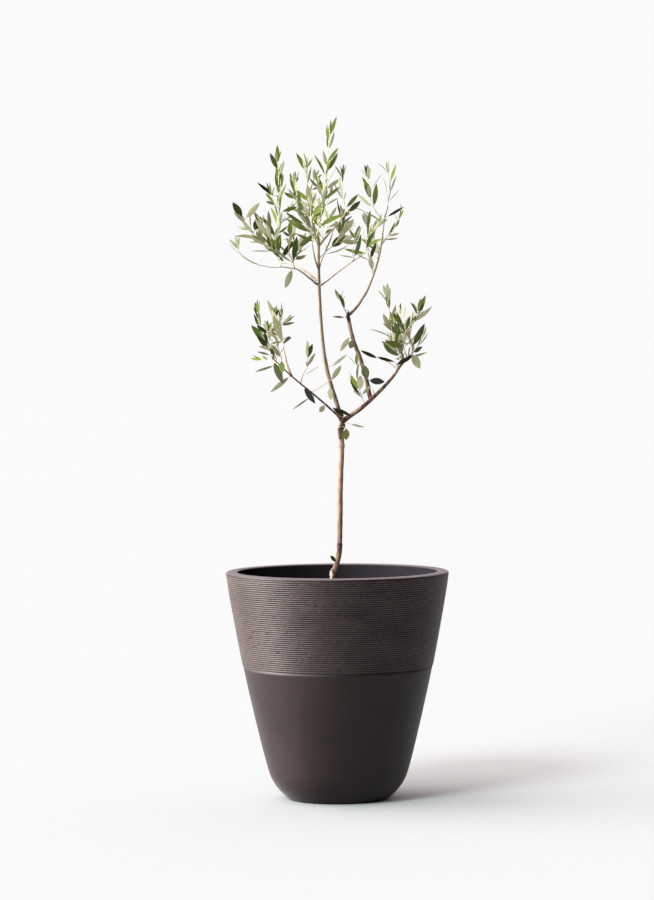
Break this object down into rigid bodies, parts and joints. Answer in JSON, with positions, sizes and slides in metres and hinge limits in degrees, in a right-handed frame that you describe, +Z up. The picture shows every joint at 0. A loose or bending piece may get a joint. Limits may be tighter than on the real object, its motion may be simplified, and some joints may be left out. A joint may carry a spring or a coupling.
{
  "type": "potted olive tree",
  "caption": "Young olive tree with a slim bare trunk, an open airy crown and a round tapered planter with a finely ridged upper band.",
  "frame": {"origin": "centre of the planter's flat underside", "axes": "+Z up along the planter's axis, -Y towards the front of the tree, +X to the tree's right as seen from the front"},
  "size_m": [0.391, 0.391, 1.1991],
  "materials": {
    "pot": "matt fibre clay, brown-black, with worn taupe ridge tops",
    "soil": "rough potting mix",
    "bark": "young tan-grey bark",
    "leaf": "leathery leaves, dull green above and silver-grey below"
  },
  "bodies": {
    "root": {"pot": "pot", "soil": "soil", "trunk": "bark", "leader": "bark", "right_bough": "bark", "riser": "bark", "upper_right_bough": "bark", "left_bough": "bark", "crown_left_front_bough": "bark", "crown_left_back_bough": "bark", "crown_right_bough": "bark", "crown_top_right_bough": "bark", "crown_front_bough": "bark", "crown_back_bough": "bark", "lower_back_bough": "bark", "top_spire": "leaf", "centre_back_mass": "leaf", "centre_front_mass": "leaf", "centre_left_mass": "leaf", "centre_spire": "leaf", "centre_right_mass": "leaf", "right_of_centre_spire": "leaf", "left_spire": "leaf", "left_upper_mass": "leaf", "left_middle_mass": "leaf", "left_tip_mass": "leaf", "left_front_mass": "leaf", "left_back_mass": "leaf", "right_middle_mass": "leaf", "right_front_mass": "leaf", "right_inner_spire": "leaf", "right_back_mass": "leaf", "right_spire": "leaf", "right_outer_spire": "leaf", "right_outer_mass": "leaf", "riser_tuft": "leaf", "riser_middle_tuft": "leaf", "riser_foot_sprig": "leaf", "riser_side_sprig": "leaf", "lower_right_inner_mass": "leaf", "lower_right_outer_mass": "leaf", "lower_right_back_mass": "leaf", "lower_right_front_mass": "leaf", "lower_right_side_mass": "leaf", "lower_left_outer_mass": "leaf", "lower_left_inner_mass": "leaf", "lower_left_front_mass": "leaf", "lower_left_back_mass": "leaf", "lower_left_low_mass": "leaf", "inner_left_sprig": "leaf", "leader_foot_sprig": "leaf", "fork_tuft": "leaf"}
  },
  "joints": []
}
